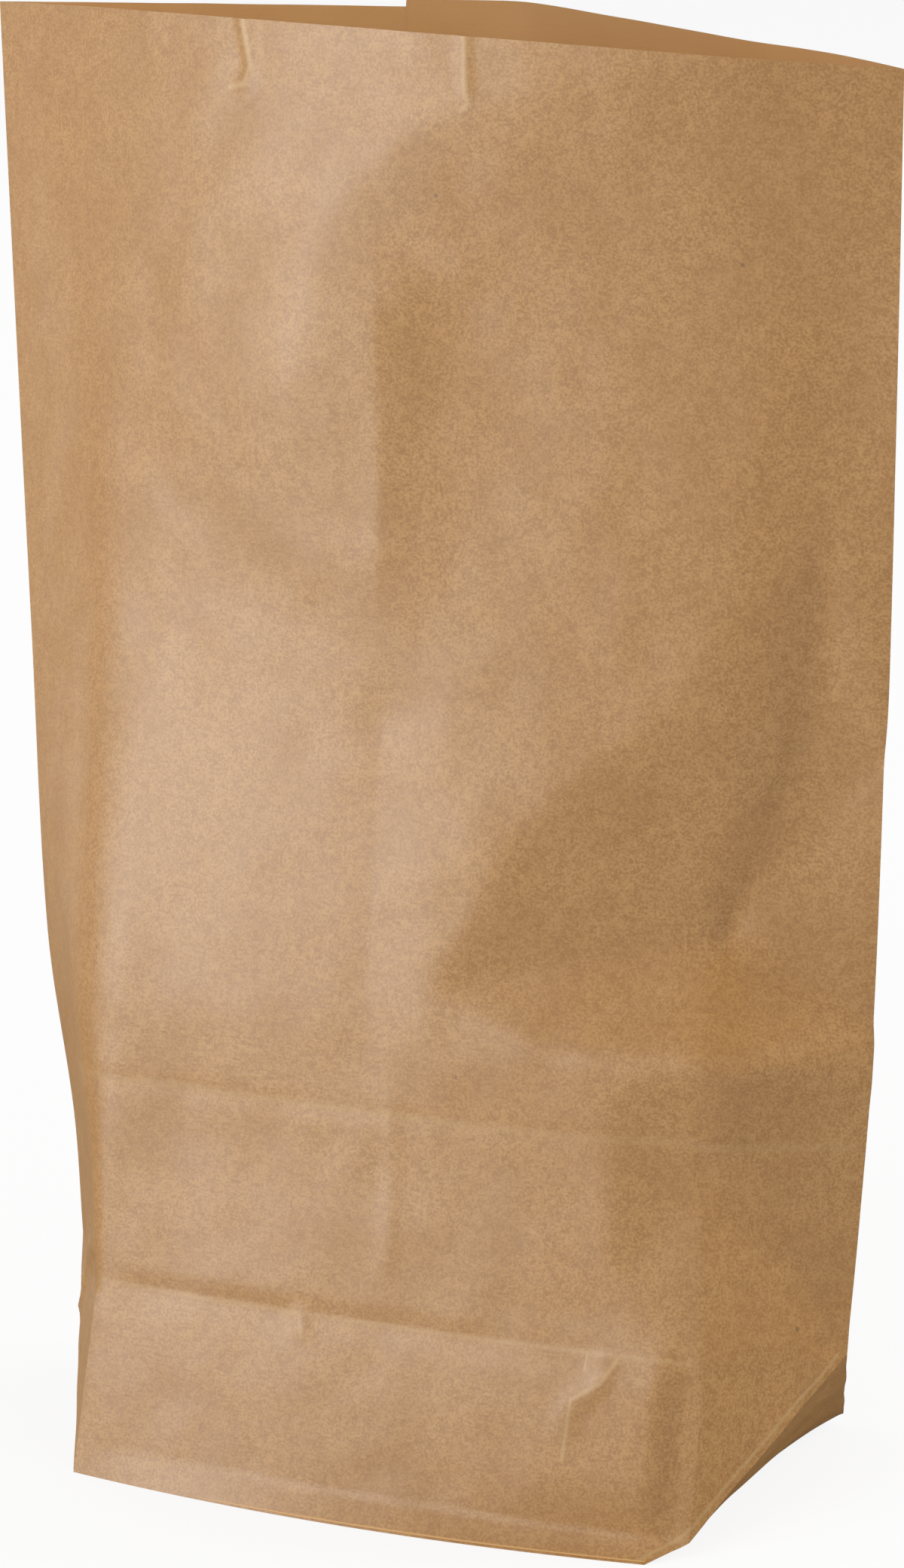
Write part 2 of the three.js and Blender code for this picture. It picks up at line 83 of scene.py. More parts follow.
# The section of the tube from the valley fold, 0, to the rim, 1
levelUps = (0, 0.1, 0.25, 0.5, 0.75, 1)
levels = {
    "leftOut": (0, 0.15, 2.8, 2, 1.05, 0),
    "rightOut": (0, 1.1, 2.2, 2.1, 1.2, 0),
    "leftStrip": (1, 0.99, 0.98, 0.86, 0.66, 0.2),
    "leftAngle": (57, 55, 51, 38, 29, 21),
    "rightStrip": (1, 0.99, 0.96, 0.82, 0.6, 0.3),
    "rightAngle": (61, 59, 52, 34, 23, 18),
    "crown": (6, 6.5, 8.5, 13, 17, 20),
    "backLeft": (60, 57, 50, 36, 24, 12),
    "backRight": (62, 59, 51, 36, 24, 13),
    "backCrown": (7, 10, 14, 14, 10, -3),
    "apex": (0, 0, 3, 8, 16, 31),
    "soft": (1.5, 4, 9, 9, 7, 4),
}

metre = 1000                  # the bag is worked out in mm
same = 0.01                   # places nearer than this are the same place
tiny = 1e-9                   # lengths under this count as none
halfWidth = bag["tubeWidth"] / 2
halfDepth = bag["baseDepth"] / 2
halfBase = halfWidth - halfDepth
girth = 2 * bag["tubeWidth"]
valleyHeight = math.sqrt(halfDepth ** 2 - bag["frontLean"] ** 2)


def smoothStep(x):
    x = np.clip(x, 0, 1)
    return x * x * (3 - 2 * x)


def levelValue(name, up):
    values = levels[name]
    last = len(values) - 1
    i = 0
    while i < last - 1 and up > levelUps[i + 1]:
        i += 1

    def slope(k):
        low, high = max(k - 1, 0), min(k + 1, last)
        return (values[high] - values[low]) / (levelUps[high] - levelUps[low])

    span = levelUps[i + 1] - levelUps[i]
    t = (up - levelUps[i]) / span
    h = t * t * (3 - 2 * t)
    curve = span * t * (1 - t) * ((1 - t) * slope(i) - t * slope(i + 1))
    return values[i] * (1 - h) + values[i + 1] * h + curve


def baseCorner(signX, signY, shift):
    return np.array([signX * halfBase + shift[0], signY * halfDepth + shift[1], 0.0])


frontLeft = baseCorner(-1, -1, bag["frontLeft"])
frontRight = baseCorner(1, -1, bag["frontRight"])
backRight = baseCorner(1, 1, bag["backRight"])
backLeft = baseCorner(-1, 1, bag["backLeft"])
bendPoint = frontRight + bag["bendFoot"]


def pocketTip(front, back, side, which):
    angle = math.radians(bag["pocketAngles"][which])
    x, z = side * halfDepth * math.cos(angle), halfDepth * math.sin(angle)
    return (front + back) / 2 + [x, bag["pocketDrifts"][which], z]


leftTip = pocketTip(frontLeft, backLeft, -1, 0)
rightTip = pocketTip(frontRight, backRight, 1, 1)


def rimCorner(side, tip):
    turn = math.radians(bag["rimTurn"])
    reach = side * bag["rimChord"] / 2
    x = bag["rimCentre"][0] + reach * math.cos(turn)
    y = bag["rimCentre"][1] + reach * math.sin(turn)
    along = bag["tubeLength"] - halfDepth
    rise = math.sqrt(along ** 2 - (x - tip[0]) ** 2 - (y - tip[1]) ** 2)
    return np.array([x, y, tip[2] + rise])


leftRim = rimCorner(-1, leftTip)
rightRim = rimCorner(1, rightTip)


def softTurn(distance, radius):
    return smoothStep(0.5 + distance / (2 * radius))


def blendTo(a, b, share):
    return a + (b - a) * share


panelSteps = 324


# Points across one panel as offsets along and out from the line between the side creases
def panelShape(first, firstStrip, last, lastStrip, crown, soft, apex):
    step = bag["tubeWidth"] / panelSteps
    place = (np.arange(panelSteps) + 0.5) * step
    lastBend = bag["tubeWidth"] - lastStrip
    across = np.clip((place - firstStrip) / (lastBend - firstStrip), 0, 1)
    fold = apex * (0.5 - softTurn(place - bag["apexPlace"], bag["apexSoft"]))
    middle = crown * (1 - 2 * across) + fold
    turned = blendTo(first, middle, softTurn(place - firstStrip, soft))
    heading = np.radians(blendTo(turned, -last, softTurn(place - lastBend, soft)))
    x = np.concatenate([[0], np.cumsum(np.cos(heading) * step)])
    y = np.concatenate([[0], np.cumsum(np.sin(heading) * step)])
    endX, endY = x[-1], y[-1]
    size = endX ** 2 + endY ** 2
    return (x * endX + y * endY) / size, (y * endX - x * endY) / size


def upperPoints(places, v):
    up = (v - halfDepth) / (bag["tubeLength"] - halfDepth)

    def value(name):
        return levelValue(name, up)

    left = blendTo(leftTip, leftRim, up) - [value("leftOut"), 0, 0]
    right = blendTo(rightTip, rightRim, up) + [value("rightOut"), 0, 0]
    leftStrip = value("leftStrip") * halfDepth
    rightStrip = value("rightStrip") * (halfDepth - bag["bendSet"])
    front = panelShape(value("leftAngle"), leftStrip, value("rightAngle"), rightStrip,
                       value("crown"), value("soft"), 0)
    back = panelShape(value("backLeft"), leftStrip, value("backRight"), leftStrip,
                      value("backCrown"), value("soft") + bag["rearSoft"], value("apex"))
    onFront = places <= bag["tubeWidth"]
    share = np.where(onFront, places, girth - places) / bag["tubeWidth"]
    steps = np.linspace(0, 1, panelSteps + 1)
    along = np.where(onFront, np.interp(share, steps, front[0]), np.interp(share, steps, back[0]))
    out = np.where(onFront, np.interp(share, steps, front[1]), np.interp(share, steps, back[1]))
    side = np.where(onFront, 1, -1)
    chord = right - left
    points = left + along[:, None] * chord
    points[:, 0] += side * out * chord[1]
    points[:, 1] -= side * out * chord[0]
    middle = 1 - (2 * share - 1) ** 2
    fold = np.minimum(share, 1 - share) * bag["tubeWidth"] / halfDepth
    level = valleyHeight - blendTo(leftTip[2], rightTip[2], share)
    rise = np.where(onFront, bag["frontRimRise"], bag["backRimRise"])
    points[:, 2] += np.minimum(fold, 1) * level * (1 - up) + middle * rise * up
    return points


topMarkPlaces = np.array([halfDepth, bag["tubeWidth"] - halfDepth + bag["bendSet"],
                          bag["tubeWidth"] + halfDepth, girth - halfDepth])
topMarkPoints = upperPoints(topMarkPlaces, halfDepth)


# The creases and bends below the valley fold, at height v on the paper
def lowerMarks(v):
    share = v / halfDepth
    bendSet, width = bag["bendSet"], bag["tubeWidth"]
    pastBend = (v - bendSet) / (halfDepth - bendSet)
    if v < bendSet:
        bend = blendTo(frontRight, bendPoint, v / bendSet)
        frontFold = bend
    else:
        bend = blendTo(bendPoint, topMarkPoints[1], pastBend)
        frontFold = blendTo(bendPoint, rightTip, pastBend)
    marks = [
        (halfDepth - v, blendTo(frontLeft, leftTip, share)),
        (halfDepth, blendTo(frontLeft, topMarkPoints[0], share)),
        (width - halfDepth + min(v, bendSet), bend),
        (width - halfDepth + v, frontFold),
        (width + halfDepth - v, blendTo(backRight, rightTip, share)),
        (width + halfDepth, blendTo(backRight, topMarkPoints[2], share)),
        (girth - halfDepth, blendTo(backLeft, topMarkPoints[3], share)),
        (girth - halfDepth + v, blendTo(backLeft, leftTip, share)),
        (girth + halfDepth - v, blendTo(frontLeft, leftTip, share)),
    ]
    return np.array([m[0] for m in marks]), np.array([m[1] for m in marks])


def lowerPoints(places, v):
    marks, seats = lowerMarks(v)
    topMarks, topSeats = lowerMarks(halfDepth)
    place = np.where(places < marks[0], places + girth, places)
    i = np.searchsorted(marks[1:8], place, side="left")
    span = marks[i + 1] - marks[i]
    share = np.where(span > tiny, (place - marks[i]) / np.where(span > tiny, span, 1), 0)
    a, b = seats[i], seats[i + 1]
    points = a + (b - a) * share[:, None]
    along = (b - a)[:, :2]
    length = np.linalg.norm(along, axis=1)
    along = along / np.where(length > tiny, length, 1)[:, None]
    bows = np.array([0, bag["frontBow"], 0, bag["sideBow"], 0, bag["backBow"], 0, bag["sideBow"]])
    bow = bows[i] * (1 - v / halfDepth) * 4 * share * (1 - share)
    points[:, 0] += along[:, 1] * bow
    points[:, 1] -= along[:, 0] * bow
    for panel in (1, 5):          # these two take the bow of the section above them
        on = i == panel
        topPlaces = blendTo(topMarks[panel], topMarks[panel + 1], share[on])
        straight = blendTo(topSeats[panel], topSeats[panel + 1], share[on][:, None])
        crown = upperPoints(topPlaces, halfDepth) - straight
        points[on] += crown * v / halfDepth
    return points


def paperPoints(places, v):
    return lowerPoints(places, v) if v < halfDepth else upperPoints(places, v)


# Folds and dents. Each follows a line of places on the paper and stands out by high, or in
# where that is negative. It falls away over the widths to its left and right, its line is
# rounded over tip, and it fades over the share ends of its length.
relief = [
    {"name": "soft base imprint", "line": [(26, 65), (150, 66)], "high": (-2.6, -2),
     "left": 85, "right": 33, "tip": 6, "foot": 0.1, "ends": (0.2, 0.2)},
    {"name": "base imprint", "line": [(10, 65), (160, 66)], "high": -0.1,
     "left": 2.6, "right": 2.6, "tip": 0.2, "foot": 0.4, "ends": (0.1, 0.1)},
    {"name": "valley fold", "line": [(34, 32), (128, 32)], "high": -0.4,
     "left": 4, "right": 12, "tip": 0.2, "foot": 0.5, "ends": (0.08, 0.08)},
    {"name": "seam imprint", "line": [(82, 130), (80.7, 146), (82, 168), (81, 205)], "high": 1.3,
     "left": 42, "right": 15, "tip": 0.4, "foot": 0.7, "ends": (0.3, 0.25)},
    {"name": "seam imprint foot", "line": [(81.5, 62), (80.5, 92), (81.5, 136)], "high": -0.7,
     "left": 30, "right": 12, "tip": 0.5, "foot": 0.3, "ends": (0.2, 0.15)},
    {"name": "upper fold", "high": (5.5, 2.6), "left": 80, "right": 40, "tip": 2, "foot": 0.5,
     "ends": (0.25, 0.1), "edgeFade": 36,
     "line": [(62, 140), (66, 180), (72, 203), (83, 214), (100, 223), (150, 236), (190, 246)]},
    {"name": "lower right swell", "line": [(128.5, 1), (128.5, 38)], "high": 1.8,
     "left": 46, "right": 4, "tip": 1, "foot": 0.4, "ends": (0.35, 0.3)},
    {"name": "right edge hollow", "line": [(150, 112), (151, 160), (153, 208)], "high": -0.9,
     "left": 12, "right": 12, "tip": 2, "foot": 0.4, "ends": (0.2, 0.2)},
    {"name": "left tip wrinkle", "line": [(8, 26.5), (13, 28.6), (20, 34), (34, 39.5)],
     "high": 0.5, "left": 2.4, "right": 3, "tip": 0.3, "foot": 0.4, "ends": (0.2, 0.35)},
    {"name": "left tip pinch", "line": [(13, 29), (12, 24), (7, 20)], "high": 0.5,
     "left": 2.2, "right": 2.6, "tip": 0.3, "foot": 0.4, "ends": (0.15, 0.4)},
    {"name": "right tip wrinkle", "line": [(161, 43), (160, 37), (157, 30), (152, 26)],
     "high": 0.45, "left": 2.2, "right": 2.6, "tip": 0.3, "foot": 0.4, "ends": (0.3, 0.3)},
    {"name": "right tip nick", "line": [(162, 35), (157.5, 33.5), (154, 35)], "high": -0.4,
     "left": 2, "right": 2, "tip": 0.3, "foot": 0.4, "ends": (0.2, 0.4)},
    {"name": "front crease", "line": [(84, 74), (83.6, 58), (82.6, 36)], "high": 0.22,
     "left": 3, "right": 2.5, "tip": 0.4, "foot": 0.5, "ends": (0.3, 0.2)},
    {"name": "upper blotch", "line": [(80, 191), (100, 198)], "high": 0.3,
     "left": 6, "right": 5, "tip": 0.5, "foot": 0.5, "ends": (0.3, 0.3)},
    {"name": "left rim pinch", "high": 0.45,
     "line": [(56.2, 240), (56.8, 232), (58.6, 225), (57.4, 222.2), (54.5, 221.5)],
     "left": 2.8, "right": 2, "tip": 0.2, "foot": 0.4, "ends": (0.3, 0.2)},
    {"name": "right rim pinch", "line": [(96, 240), (96, 232), (96.6, 221.5)], "high": 0.3,
     "left": 2, "right": 1.8, "tip": 0.2, "foot": 0.4, "ends": (0.3, 0.2)},
    {"name": "valley nick", "line": [(68, 34), (70, 27.5)], "high": 0.35,
     "left": 2, "right": 2.4, "tip": 0.2, "foot": 0.4, "ends": (0.3, 0.3)},
    {"name": "valley pinch", "line": [(122, 33), (119, 27), (115, 23), (115, 15)], "high": 0.4,
     "left": 2.2, "right": 3, "tip": 0.3, "foot": 0.4, "ends": (0.2, 0.4)},
    {"name": "rear upper dent", "line": [(196, 170), (236, 120)], "high": -1.8,
     "left": 30, "right": 24, "tip": 1, "foot": 0.5, "ends": (0.25, 0.25)},
    {"name": "rear lower dent", "line": [(262, 92), (290, 50)], "high": -1.3,
     "left": 18, "right": 22, "tip": 1, "foot": 0.5, "ends": (0.25, 0.25)},
]
edgeFade = 4                  # marks without one of their own die out this near the side creases


def smoothFoot(t, foot):
    t = np.clip(t, 0, 1)
    return np.where(t < foot, t * t / (2 * foot), t - foot / 2) / (1 - foot / 2)


lineSteps = 8                 # places per span of a smoothed line


def smoothLine(line):         # more places on a smooth curve through those of the line
    padded = np.concatenate([[2 * line[0] - line[1]], line, [2 * line[-1] - line[-2]]])
    t = np.linspace(0, 1, lineSteps, endpoint=False)[:, None]
    curve = []
    for a, b, c, d in zip(padded, padded[1:], padded[2:], padded[3:]):
        bend = 2 * a - 5 * b + 4 * c - d + t * (3 * (b - c) + d - a)
        curve.append(b + t / 2 * (c - a + t * bend))
    return np.concatenate([*curve, line[-1:]])


def alongLine(s, v, line):    # how far beside the line, to its right, and the share of its length
    runs = np.diff(line, axis=0)
    lengths = np.linalg.norm(runs, axis=1)
    best = np.full(s.shape, np.inf)
    beside, along = np.zeros(s.shape), np.zeros(s.shape)
    done = 0.0
    for (fromS, fromV), (runS, runV), length in zip(line, runs, lengths):
        runS, runV = runS / length, runV / length
        offS, offV = s - fromS, v - fromV
        near = np.clip(offS * runS + offV * runV, 0, length)
        distance = np.hypot(offS - near * runS, offV - near * runV)
        side = np.where(offS * runV - offV * runS < 0, -1, 1)
        closer = distance < best
        best = np.where(closer, distance, best)
        beside = np.where(closer, side * distance, beside)
        along = np.where(closer, done + near, along)
        done += length
    return beside, along / done


def fromCrease(s):            # how far a place is from the nearer side crease
    return np.abs((s + halfWidth) % bag["tubeWidth"] - halfWidth)


# Slight waves all over the paper, as shares of slope
ripples = {
    "seed": 7,
    "waves": 70,
    "shortest": 7,
    "longest": 30,
    "slope": 0.025,
    "baseFade": 8,            # the waves die out this near the base fold
    "creaseFade": 10,         # and this near the side creases
}


def rippleHeight(s, v):
    chance = np.random.default_rng(ripples["seed"])
    height = np.zeros_like(s)
    least, most = math.log(ripples["shortest"]), math.log(ripples["longest"])
    for wave in range(ripples["waves"]):
        length = math.exp(chance.uniform(least, most))
        turn, phase = chance.uniform(0, math.tau, 2)
        wavesRound = round(girth * math.cos(turn) / length)     # whole, so that the tube closes
        cycles = wavesRound * s / girth + math.sin(turn) * v / length
        height += length * np.sin(math.tau * cycles + phase)
    size = ripples["slope"] / math.tau * math.sqrt(2 / ripples["waves"])
    fade = smoothStep(v / ripples["baseFade"]) * smoothStep(fromCrease(s) / ripples["creaseFade"])
    return height * size * fade


# Dents of flat facets, given by places with how far each stands out, and the triangles between
dents = [
    {"name": "hand dent", "soft": 2.2,
     "places": [(91.5, 86, 0), (104, 111, 0), (128, 132, 0), (153, 166, 0), (142, 98, -11.4),
                (151.5, 130, -3.2), (162, 130, 0), (162, 84, 0), (138, 79, 0), (110, 79, 0)],
     "facets": [(0, 1, 4), (1, 2, 4), (2, 5, 4), (2, 3, 5), (3, 6, 5), (5, 6, 4), (6, 7, 4),
                (7, 8, 4), (8, 9, 4), (9, 0, 4)]},
    {"name": "corner dent", "soft": 2.5,
     "places": [(120, 45, 0), (120, 72, 0), (129, 79, 0), (147, 80, 0), (162, 74, 0),
                (162, 34, 0), (134, 32.5, 0), (136, 62, -5)],
     "facets": [(0, 1, 7), (1, 2, 7), (2, 3, 7), (3, 4, 7), (4, 5, 7), (5, 6, 7), (6, 0, 7)]},
]


def facetHeight(s, v, dent):
    height = np.zeros_like(s)
    for facet in dent["facets"]:
        (aS, aV, aHigh), (bS, bV, bHigh), (cS, cV, cHigh) = (dent["places"][i] for i in facet)
        area = (bS - aS) * (cV - aV) - (cS - aS) * (bV - aV)
        shareB = ((s - aS) * (cV - aV) - (cS - aS) * (v - aV)) / area
        shareC = ((bS - aS) * (v - aV) - (s - aS) * (bV - aV)) / area
        shareA = 1 - shareB - shareC
        inside = np.minimum(np.minimum(shareA, shareB), shareC) >= 0
        height = np.where(inside, shareA * aHigh + shareB * bHigh + shareC * cHigh, height)
    return height


ringStep = 45                 # degrees between the places of a ring


def dentHeight(s, v, dent):   # the mean over two small rings of places rounds the creases
    total = facetHeight(s, v, dent)
    turns = np.radians(np.arange(0, 360, ringStep))
    for reach in (dent["soft"] / 2, dent["soft"]):
        for turn in turns:
            total = total + facetHeight(s + reach * np.cos(turn), v + reach * np.sin(turn), dent)
    return total / (2 * len(turns) + 1)


def reliefHeight(s, v):
    height = rippleHeight(s, v)
    for dent in dents:
        height += dentHeight(s, v, dent)
    for mark in relief:
        line = np.array(mark["line"], float)
        line = smoothLine(line) if len(line) > 2 else line
        beside, along = alongLine(s, v, line)
        high, left, right = (blendTo(*size, along) if isinstance(size, tuple) else size
                             for size in (mark["high"], mark["left"], mark["right"]))
        rounded = np.sqrt(beside ** 2 + mark["tip"] ** 2) - mark["tip"]
        away = rounded / np.where(beside < 0, left, right)
        start, end = mark["ends"]
        ends = smoothStep(along / start) * smoothStep((1 - along) / end)
        inward = np.clip(fromCrease(s) / mark.get("edgeFade", edgeFade), 0, 1)
        height += high * ends * smoothFoot(1 - away, mark["foot"]) * inward * (2 - inward)
    return height


# How closely the paper is divided: from, to, and the step between. The corners have the same
# steps across and up, so that the slanting folds run through the mesh's points.
cornerCounts = (5, 25)
cornerSteps = np.concatenate([
    np.linspace(0, bag["bendSet"], cornerCounts[0], endpoint=False),
    np.linspace(bag["bendSet"], halfDepth, cornerCounts[1]),
])
acrossFront = ((32, 51, 1.25), (51, 60, 0.6), (60, 78, 1.25), (78, 84, 0.65), (84, 93, 1.1),
               (93, 99, 0.6), (99, 118, 1.25), (118, 124, 0.75), (124, 130, 1.2))
acrossBack = ((194, 292, 1.9),)
upward = ((32, 36, 0.7), (36, 61, 1.5), (61, 69, 0.75), (69, 214, 1.5), (214, 232, 0.8))
leastStep = 0.05


def evenSteps(spans):
    return np.concatenate([
        np.linspace(a, b, round((b - a) / step), endpoint=False) for a, b, step in spans
    ])


def placesAround():
    rising, falling = cornerSteps, (halfDepth - cornerSteps)
    seamEdges = [girth - bag["seamPlace"] - lap + side * bag["seamEdge"] / 2
                 for lap in (0, bag["seamLap"]) for side in (-1, 1)]
    places = np.concatenate([
        falling, bag["tubeWidth"] - falling, bag["tubeWidth"] + falling, girth - falling,
        evenSteps(acrossFront), evenSteps(acrossBack), seamEdges,
    ])
    places = np.sort(places % girth)
    return places[np.concatenate([[True], np.diff(places) > leastStep])]


def seamAt(s):
    fromLeft = girth - s
    onBack = s > bag["tubeWidth"]
    past = fromLeft - bag["seamPlace"] - bag["seamLap"]
    fade = np.clip(1 - past / bag["seamFade"], 0, 1)
    overInner = onBack & (fromLeft > bag["seamPlace"])
    overOuter = onBack & (past > 0)
    toRight, reach = bag["tubeWidth"] - fromLeft, bag["tubeWidth"] - bag["apexPlace"]
    rise = bag["seamRise"] * np.minimum(1, toRight / reach)
    inner = np.where(overInner, np.where(overOuter, fade, 1), 0)
    return {
        "outerIn": np.where(overOuter, bag["ply"] * fade, 0),
        "innerIn": bag["ply"] * (1 + inner),
        "outerRise": np.where(overOuter, rise, 0),
        "innerRise": np.where(overInner, rise, 0),
    }


around = placesAround()
upwards = np.concatenate([cornerSteps[:-1], evenSteps(upward), [bag["tubeLength"]]])
print("paper divided into", len(around), "by", len(upwards))


# The folded bag as a mesh: an outer skin, an inner skin one ply inside it, the cut rim that
# joins them, and the folded base with its two glued flaps
def skinPoints(riseName):
    rows = [paperPoints(around, v) for v in upwards[:-1]]
    rise = seamAt(around)[riseName]
    top = paperPoints(around, bag["tubeLength"])
    for step in np.unique(rise[rise > 0]):
        lifted = rise == step
        top[lifted] = paperPoints(around[lifted], bag["tubeLength"] + step)
    return np.array(rows + [top])


def cellNormals(skin):
    nextSkin = np.roll(skin, -1, axis=1)
    first = nextSkin[1:] - skin[:-1]
    second = skin[1:] - nextSkin[:-1]
    normals = np.cross(first, second)
    return normals / np.linalg.norm(normals, axis=2, keepdims=True)


leastCosine = 0.25            # keeps points in sharp folds from moving too far


# Moves each point of a skin along the bisector of the cells round it
def offsetSkin(skin, amount):
    cells = cellNormals(skin)
    rows = [cells[:1]] + [cells] + [cells[-1:]]
    cells = np.concatenate(rows)
    corners = [cells[1:], cells[:-1]]
    corners += [np.roll(corner, 1, axis=1) for corner in corners]
    bisector = sum(corners)
    bisector /= np.linalg.norm(bisector, axis=2, keepdims=True)
    least = np.min([np.sum(c * bisector, axis=2) for c in corners], axis=0)
    reach = amount / np.maximum(least, leastCosine)
    return skin + bisector * reach[:, :, None]


def baseLevels(s):
    onFront = (s > halfDepth - same) & (s < bag["tubeWidth"] - halfDepth + same)
    onBack = (s > bag["tubeWidth"] + halfDepth - same) & (s < girth - halfDepth + same)
    return bag["ply"] * np.where(onFront, 0, np.where(onBack, 1, 2))


def liftCorner(points):
    x, y, z = (points[..., k] for k in range(3))
    away = np.hypot(x - backRight[0], y - backRight[1]) / bag["cornerLiftReach"]
    height = smoothStep(1 - z / bag["cornerLiftHeight"])
    points[..., 2] += bag["cornerLift"] * smoothStep(1 - away) * height
    return points


def closed(ids):
    return np.concatenate([ids, ids[:1]])


class SheetMesh:              # points, triangles and the paper place of each triangle corner
    def __init__(self):
        self.points, self.faces, self.flats = [], [], []
        self.inside = []      # the points of the inner skin
        self.count = 0

    def add(self, points):
        points = np.asarray(points, float).reshape(-1, 3)
        self.points.append(points)
        self.count += len(points)
        return np.arange(self.count - len(points), self.count)

    def triangles(self, faces, flats):
        self.faces.append(np.asarray(faces).reshape(-1, 3))
        self.flats.append(np.asarray(flats, float).reshape(-1, 3, 2))

    def skin(self, ids, flat, outward):
        wrapped = np.concatenate([ids, ids[:, :1]], axis=1)
        a, b = wrapped[:-1, :-1], wrapped[:-1, 1:]
        c, d = wrapped[1:, 1:], wrapped[1:, :-1]
        fa, fb, fc, fd = flat[:-1, :-1], flat[:-1, 1:], flat[1:, 1:], flat[1:, :-1]
        rising = (around + halfDepth) % bag["tubeWidth"] < halfDepth - same
        rising = rising[None, :].repeat(len(a), 0)
        for mask, quad, flats in (
            (rising, (a, b, c, d), (fa, fb, fc, fd)),
            (~rising, (d, a, b, c), (fd, fa, fb, fc)),
        ):
            for corners in ((0, 1, 2), (0, 2, 3)):
                if not outward:
                    corners = corners[::-1]
                self.triangles(np.stack([quad[k][mask] for k in corners], 1),
                               np.stack([flats[k][mask] for k in corners], 1))

    def strip(self, low, high, flatLow, flatHigh):
        a, b, c, d = low[:-1], low[1:], high[1:], high[:-1]
        fa, fb, fc, fd = flatLow[:-1], flatLow[1:], flatHigh[1:], flatHigh[:-1]
        self.triangles(np.stack([a, b, c], 1), np.stack([fa, fb, fc], 1))
        self.triangles(np.stack([a, c, d], 1), np.stack([fa, fc, fd], 1))

    def fan(self, centre, ring, flatOf):
        faces = np.stack([np.full(len(ring) - 1, centre), ring[:-1], ring[1:]], 1)
        self.triangles(faces, flatOf(faces))

    def object(self, name, scale):
        points = np.concatenate(self.points) * scale
        faces = np.concatenate(self.faces).astype(np.int32)
        flats = np.concatenate(self.flats) * scale
        mesh = bpy.data.meshes.new(name)
        mesh.vertices.add(len(points))
        mesh.vertices.foreach_set("co", points.astype(np.float32).ravel())
        mesh.loops.add(faces.size)
        mesh.loops.foreach_set("vertex_index", faces.ravel())
        mesh.polygons.add(len(faces))
        mesh.polygons.foreach_set("loop_start", np.arange(0, faces.size, 3, dtype=np.int32))
        mesh.polygons.foreach_set("use_smooth", np.ones(len(faces), bool))
        layer = mesh.uv_layers.new(name="flatPaper")
        layer.data.foreach_set("uv", flats.astype(np.float32).ravel())
        isInside = np.isin(np.arange(len(points)), self.inside)
        inside = mesh.attributes.new("inside", "FLOAT", "POINT")
        inside.data.foreach_set("value", isInside.astype(np.float32))
        mesh.update(calc_edges=True)
        mesh.validate()
        made = bpy.data.objects.new(name, mesh)
        bpy.context.scene.collection.objects.link(made)
        return made


